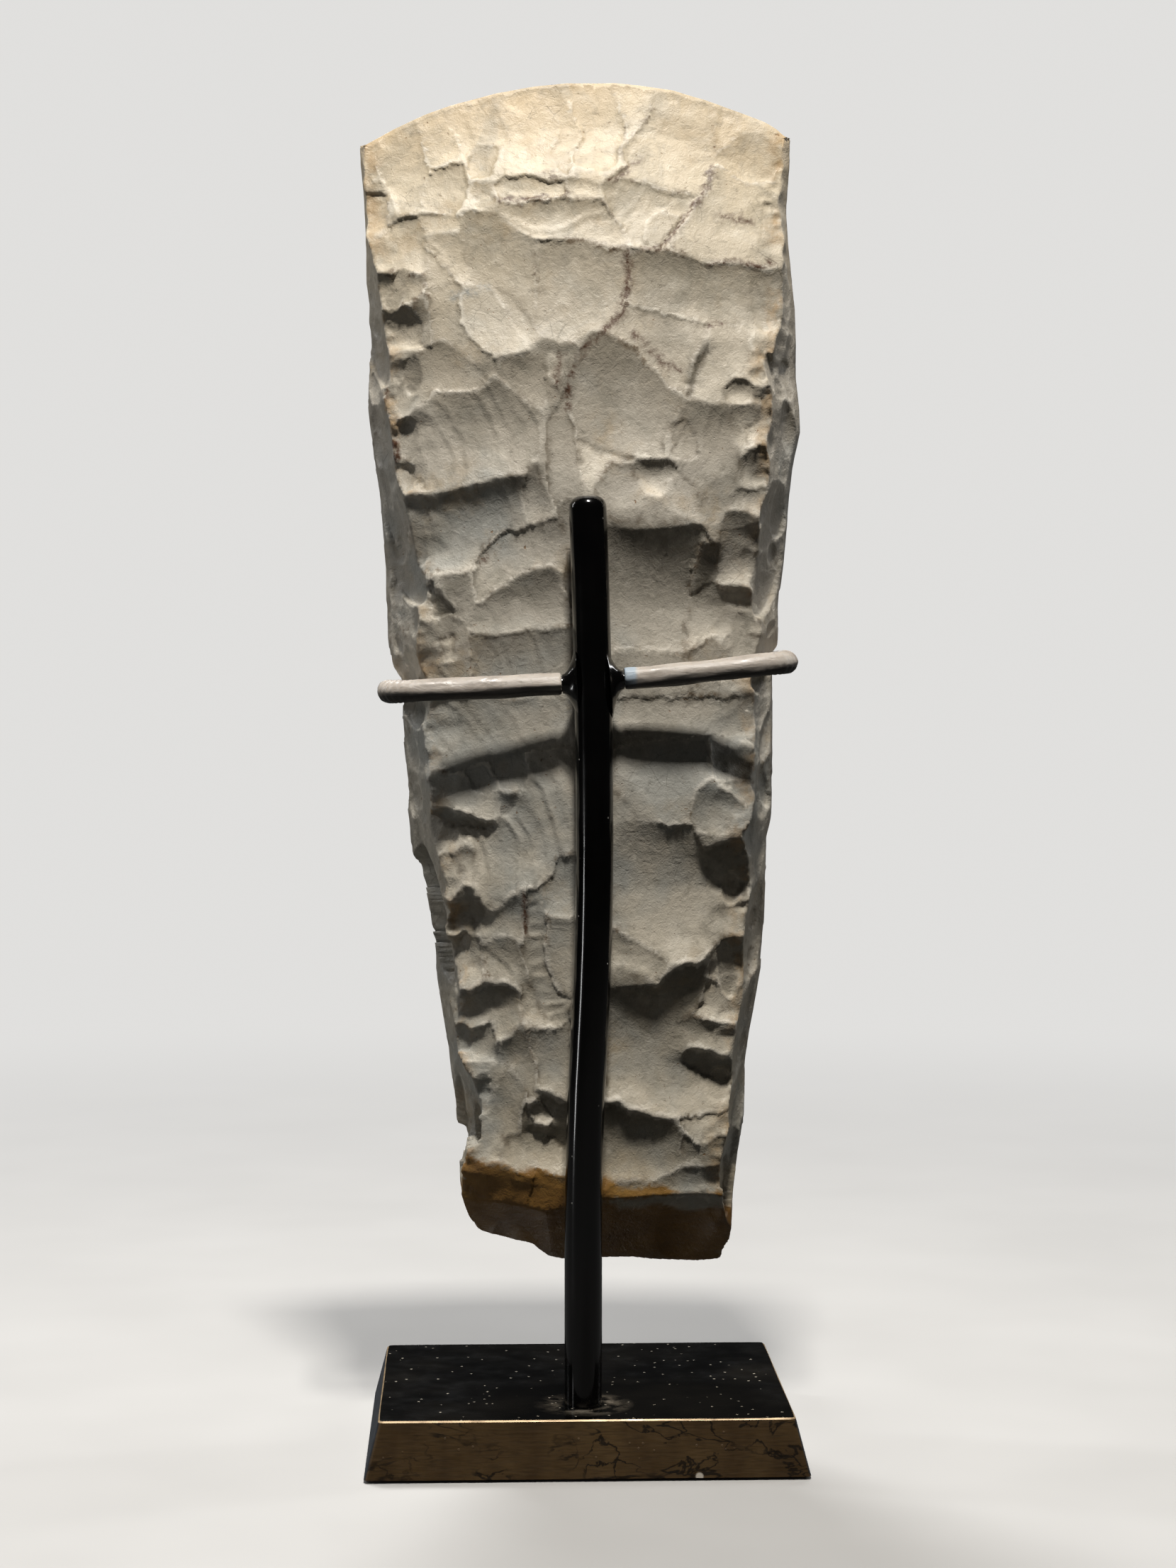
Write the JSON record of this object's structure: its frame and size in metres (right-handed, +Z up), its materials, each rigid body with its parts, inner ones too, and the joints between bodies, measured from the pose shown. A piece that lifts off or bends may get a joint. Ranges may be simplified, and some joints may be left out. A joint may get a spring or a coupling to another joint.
{
  "type": "thick-butted flint axe in a display mount",
  "caption": "Knapped thick-butted flint axe standing edge up in a black rod mount with sleeved arms on a bevelled plinth; the axe lifts out along its length.",
  "frame": {"origin": "centre of the felt's underside, on the surface that the mount stands on", "axes": "+Z up along the post, -Y towards the side where the post stands, +X to the right seen from there"},
  "size_m": [0.0918, 0.0746, 0.2825],
  "materials": {
    "flint": "knapped flint with a pale matt-to-waxy patina, opaque",
    "black_rod": "gloss black lacquer on round bar",
    "black_braze": "gloss black lacquer over brazed fillets",
    "tubing": "wrinkled satin beige tubing",
    "plinth_metal": "brown patinated steel under clear lacquer, polished top",
    "screw_steel": "plain steel",
    "felt": "black felt"
  },
  "bodies": {
    "stand": {"post": "black_rod", "arm_left": "black_rod", "arm_right": "black_rod", "braze_left": "black_braze", "braze_right": "black_braze", "sleeve_left": "tubing", "sleeve_right": "tubing", "plinth": "plinth_metal", "post_screw": "screw_steel", "screw_washer": "screw_steel", "base_felt": "felt"},
    "axe": {"flint_axe": "flint"}
  },
  "joints": [
    {"name": "axe_lift", "type": "slide", "parent": "stand", "child": "axe", "axis": [-0.0209, 0, 0.9998], "range_m": [0, 0.135]}
  ]
}
